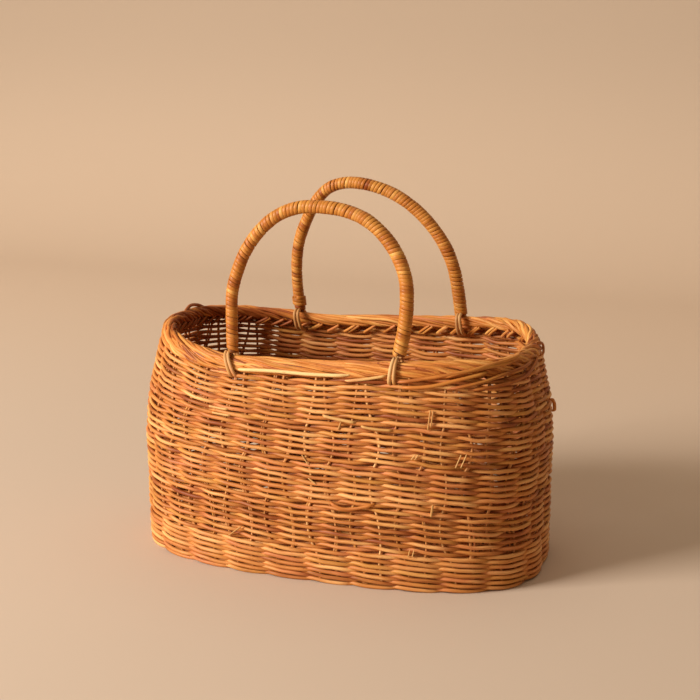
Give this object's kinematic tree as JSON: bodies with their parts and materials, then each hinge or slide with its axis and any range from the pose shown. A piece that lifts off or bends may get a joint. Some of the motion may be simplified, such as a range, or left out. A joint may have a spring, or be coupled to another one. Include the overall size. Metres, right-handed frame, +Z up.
{
  "type": "wicker basket bag",
  "caption": "Oval twined wicker basket with a drawn-in mouth, a rolled border and two arched carrying handles bound with flat cane.",
  "frame": {"origin": "the middle of the basket's foot, on the surface that it stands on", "axes": "+X along the basket's long side to the right, +Y to the back, +Z up"},
  "size_m": [0.3298, 0.204, 0.2911],
  "materials": {
    "cane_weave": "peeled rattan rods, satin, honey to orange tan",
    "cane_border": "peeled rattan rods, satin, orange tan",
    "cane_binding": "glossy flat cane, golden orange",
    "cane_rod": "pale peeled rattan, satin"
  },
  "bodies": {
    "root": {"wall": "cane_weave", "base": "cane_weave", "border_roll": "cane_border", "inner_row": "cane_border", "handle_front": "cane_binding", "handle_back": "cane_binding", "tie_front_left_1": "cane_rod", "tie_front_left_2": "cane_rod", "tie_front_right_1": "cane_rod", "tie_front_right_2": "cane_rod", "tie_back_left_1": "cane_rod", "tie_back_left_2": "cane_rod", "tie_back_right_1": "cane_rod", "tie_back_right_2": "cane_rod"}
  },
  "joints": []
}
